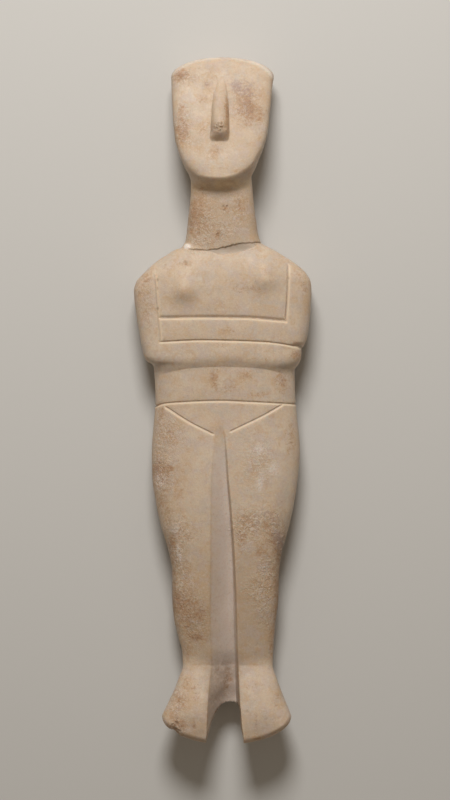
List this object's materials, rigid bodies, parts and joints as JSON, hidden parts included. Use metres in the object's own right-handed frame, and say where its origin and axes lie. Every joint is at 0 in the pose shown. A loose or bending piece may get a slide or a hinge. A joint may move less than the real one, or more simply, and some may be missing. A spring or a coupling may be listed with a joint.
{
  "type": "cycladic folded-arm figurine",
  "caption": "Carved marble standing female figure with folded arms, flat crowned head with only a nose, parted legs and splayed feet, lying on its back.",
  "frame": {"origin": "centre of the bounding box, on the ground plane that the back lies on", "axes": "+Y from the feet towards the crown, +Z out of the face and chest, +X to the viewer's right when the figure is seen from the front with its head up"},
  "size_m": [0.1036, 0.4, 0.0433],
  "materials": {
    "marble": "matt weathered marble, warm cream with orange-brown and purplish stains"
  },
  "bodies": {
    "root": {"figurine": "marble"}
  },
  "joints": []
}
